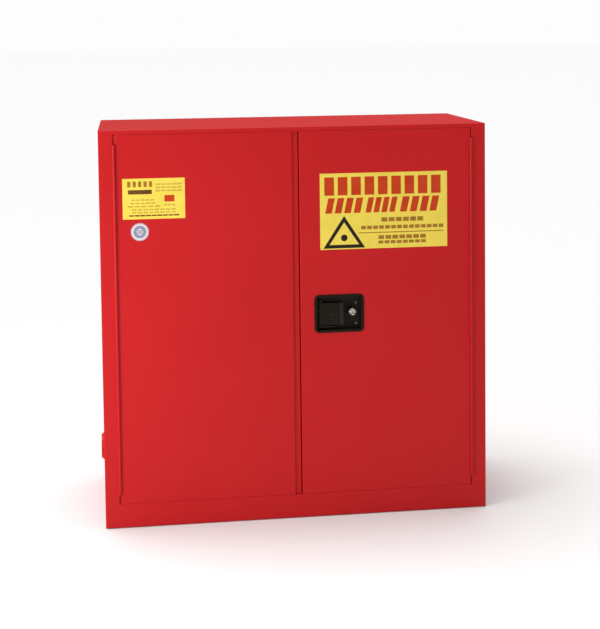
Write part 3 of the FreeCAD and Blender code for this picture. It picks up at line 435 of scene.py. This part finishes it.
def round_edges():
    """Small rounds on the edges that are folded, moulded or machined."""
    for name, radius in ROUNDED.items():
        node = nodes[name]
        weld = node.modifiers.new("weld", "WELD")
        weld.merge_threshold = 0.01 * MM
        bevel = node.modifiers.new("round", "BEVEL")
        bevel.width = radius * MM
        bevel.segments = 2
        bevel.limit_method = "ANGLE"
        bevel.angle_limit = math.radians(50)


# ---------------------------------------------------------------- printing on the labels

PRINT_LIFT = 0.05 * MM
PRINT_THICKNESS = 0.06 * MM


def add_print(name, node, body, material, shapes):
    """Thin printed shapes on the front of a label.

    A shape is a list of faces, and a face is a list of corners. A corner gives how far
    right and how far down it lies, as shares of the label's width and height."""
    low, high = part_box(node)
    front = low.y - PRINT_LIFT
    work = bmesh.new()
    for corners in shapes:
        points = [
            work.verts.new((low.x + u * (high.x - low.x), front, high.z - v * (high.z - low.z)))
            for u, v in corners
        ]
        work.faces.new(points)
    bmesh.ops.recalc_face_normals(work, faces=work.faces)
    grown = bmesh.ops.extrude_face_region(work, geom=work.faces[:])["geom"]
    raised = [item for item in grown if isinstance(item, bmesh.types.BMVert)]
    bmesh.ops.translate(work, verts=raised, vec=(0, -PRINT_THICKNESS, 0))
    add_piece(name, work, material, body, smooth=False)


def bar(left, top, right, bottom, slant=0.0):
    """A block whose top is pushed right by a slant."""
    return [(left + slant, top), (right + slant, top), (right, bottom), (left, bottom)]


def row(left, right, top, bottom, count, gap, slant=0.0):
    """A row of equal blocks with gaps between them, each a share of the pitch."""
    pitch = (right - left + gap * (right - left) / count) / count
    wide = pitch * (1 - gap)
    return [
        bar(left + index * pitch, top, left + index * pitch + wide, bottom, slant)
        for index in range(count)
    ]


def ring(corners, inner):
    """A closed band between two outlines with as many corners."""
    count = len(corners)
    return [
        [corners[i], corners[(i + 1) % count], inner[(i + 1) % count], inner[i]]
        for i in range(count)
    ]


def disc(centre_u, centre_v, radius_u, radius_v, steps=40):
    """The outline of a disc."""
    points = []
    for step in range(steps):
        turn = math.radians(360 * step / steps)
        points.append((centre_u + radius_u * math.cos(turn), centre_v - radius_v * math.sin(turn)))
    return points


def print_warning_label(materials):
    """Plain blocks for the headings, a triangle with a dot, and small bars beside it."""
    heading = row(0.035, 0.95, 0.05, 0.29, 9, 0.28)
    for left, right in ((0.04, 0.315), (0.355, 0.585), (0.625, 0.915)):
        heading += row(left, right, 0.325, 0.525, 4, 0.3, 0.025)
    add_print("warning_headings", "warning_label", "right_door", materials["print_red"], heading)

    triangle = [(0.187, 0.56), (0.35, 0.985), (0.024, 0.985)]
    hole = [(0.187, 0.645), (0.303, 0.94), (0.071, 0.94)]
    dot = disc(0.187, 0.85, 0.026, 0.044)
    shapes = ring(triangle, hole) + [dot]
    add_print("warning_triangle", "warning_label", "right_door", materials["print_black"], shapes)

    small = row(0.48, 0.81, 0.595, 0.65, 6, 0.18)
    small += row(0.32, 0.97, 0.70, 0.745, 14, 0.2)
    small += [bar(0.30, 0.785, 0.97, 0.797)]
    small += row(0.455, 0.83, 0.83, 0.88, 7, 0.18)
    small += row(0.455, 0.83, 0.90, 0.94, 8, 0.2)
    add_print("warning_small", "warning_label", "right_door", materials["print_brown"], small)


def print_data_label(materials):
    """Plain bars in place of the print, and a small red square."""
    heading = row(0.08, 0.48, 0.07, 0.21, 5, 0.4)
    add_print("data_heading", "data_label", "left_door", materials["print_brown"], heading)
    dark = [bar(0.09, 0.28, 0.47, 0.385)]
    dark += row(0.10, 0.90, 0.895, 0.93, 9, 0.12)
    add_print("data_bars", "data_label", "left_door", materials["print_dark"], dark)
    faint = []
    for top in (0.13, 0.21, 0.29):
        faint += row(0.53, 0.95, top, top + 0.035, 5, 0.15)
    for top, left, right in ((0.51, 0.14, 0.50), (0.59, 0.12, 0.52), (0.67, 0.08, 0.60)):
        faint += row(left, right, top, top + 0.035, 5, 0.2)
    for top in (0.75, 0.82):
        faint += row(0.15, 0.85, top, top + 0.035, 8, 0.2)
    faint += row(0.66, 0.84, 0.645, 0.68, 3, 0.2)
    add_print("data_lines", "data_label", "left_door", materials["print_faint"], faint)
    square = [bar(0.67, 0.42, 0.83, 0.58)]
    add_print("data_mark", "data_label", "left_door", materials["print_red"], square)


def print_seal(materials):
    """Three rings, the innermost wide and blue, round three bars."""
    rings = []
    for outer, inner in ((0.49, 0.465), (0.35, 0.31)):
        rings += ring(disc(0.5, 0.5, outer, outer), disc(0.5, 0.5, inner, inner))
    rings += [bar(0.34, top, 0.66, top + 0.04) for top in (0.40, 0.48, 0.56)]
    add_print("seal_rings", "seal_label", "left_door", materials["print_grey"], rings)
    wide = ring(disc(0.5, 0.5, 0.30, 0.30), disc(0.5, 0.5, 0.19, 0.19))
    add_print("seal_disc", "seal_label", "left_door", materials["print_blue"], wide)


make_camera()
make_studio()
materials = make_materials()
paint_nodes(materials)
detail_handle(materials)
detail_vents(materials)
detail_earthing(materials)
detail_door_backs(materials)
round_edges()
print_warning_label(materials)
print_data_label(materials)
print_seal(materials)
